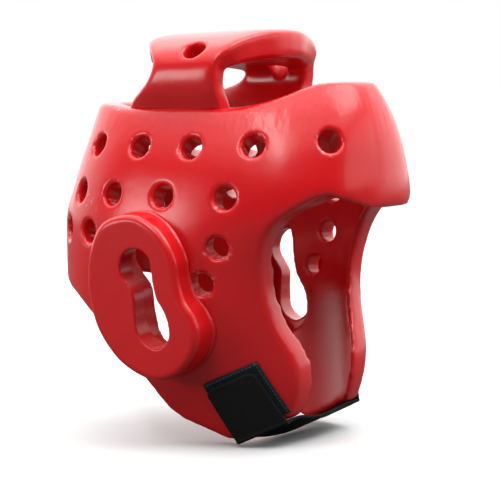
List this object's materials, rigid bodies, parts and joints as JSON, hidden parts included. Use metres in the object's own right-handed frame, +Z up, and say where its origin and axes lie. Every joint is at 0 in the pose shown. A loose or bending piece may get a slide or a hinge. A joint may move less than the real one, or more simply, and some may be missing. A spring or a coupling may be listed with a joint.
{
  "type": "taekwondo headgear",
  "caption": "Red dipped-foam taekwondo headgear with open crown, crown pad, vented shell, raised ear pads, cheek flaps and a black chin strap.",
  "frame": {"origin": "middle of the crown pad's underside, where it sits on the top of the head", "axes": "+Z up out of the crown, the face looks along -Y, +X to the wearer's left"},
  "size_m": [0.2162, 0.2523, 0.2854],
  "materials": {
    "foam": "gloss",
    "strap": "matte",
    "hook": "satin"
  },
  "bodies": {
    "root": {"head_shell": "foam", "crown_pad": "foam", "ear_pad_right": "foam", "ear_pad_left": "foam", "chin_strap": "strap", "hook_patch": "hook"}
  },
  "joints": []
}
